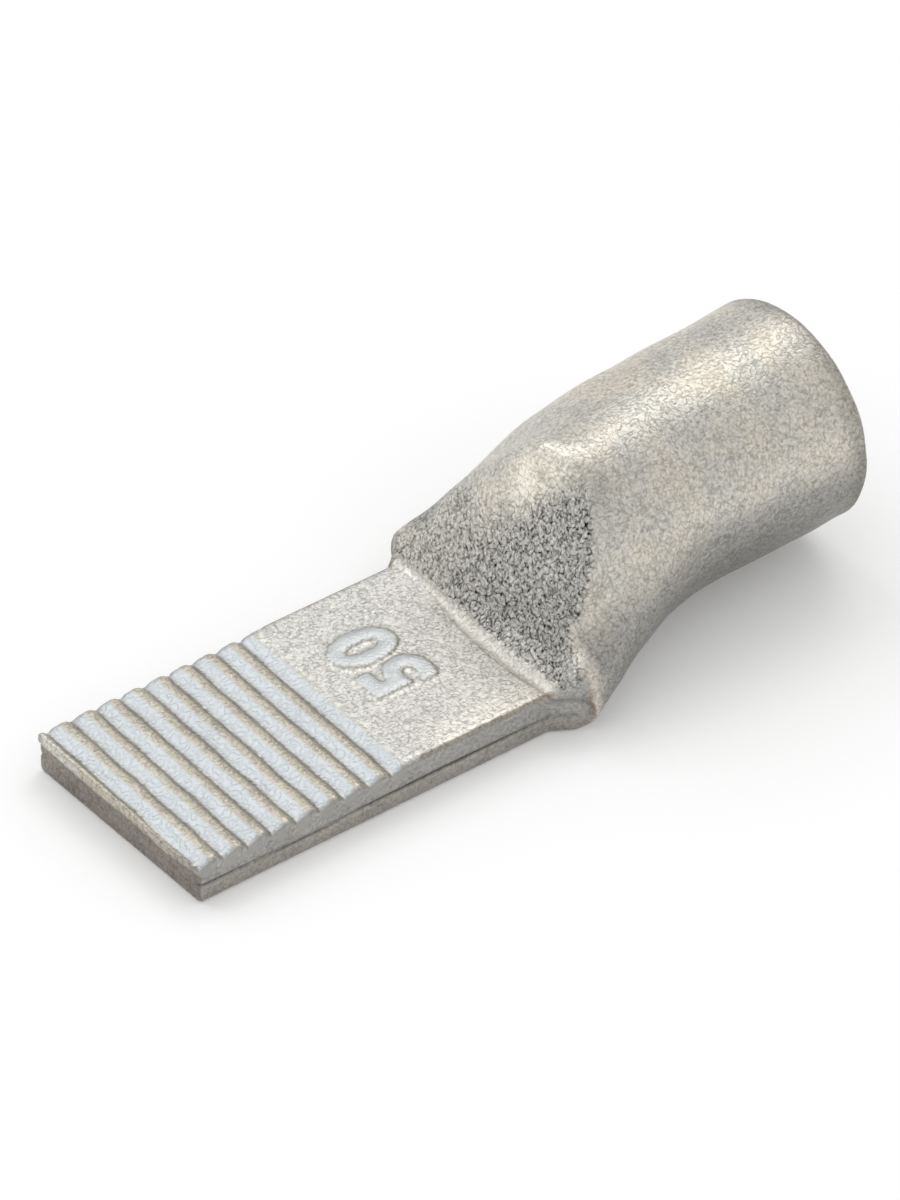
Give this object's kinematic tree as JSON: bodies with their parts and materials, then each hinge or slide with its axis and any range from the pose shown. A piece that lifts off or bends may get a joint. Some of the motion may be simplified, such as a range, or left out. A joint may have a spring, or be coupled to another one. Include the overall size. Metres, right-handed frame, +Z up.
{
  "type": "pin cable lug",
  "caption": "One-piece tin-plated copper cable lug: a round crimp barrel pressed flat into a ribbed pin for a screw or box clamp.",
  "frame": {"origin": "on the flat underside of the pin, mid-width, at the shoulder where the pin ends and the neck begins", "axes": "+X from the shoulder towards the barrel's open mouth, +Z up out of the pin's ribbed face, +Y across the pin; the barrel rises 3 degrees from X"},
  "size_m": [0.043, 0.0164, 0.013],
  "materials": {
    "tinned_copper": "matt electro-tinned copper, speckled"
  },
  "bodies": {
    "root": {"pin_lug": "tinned_copper"}
  },
  "joints": []
}
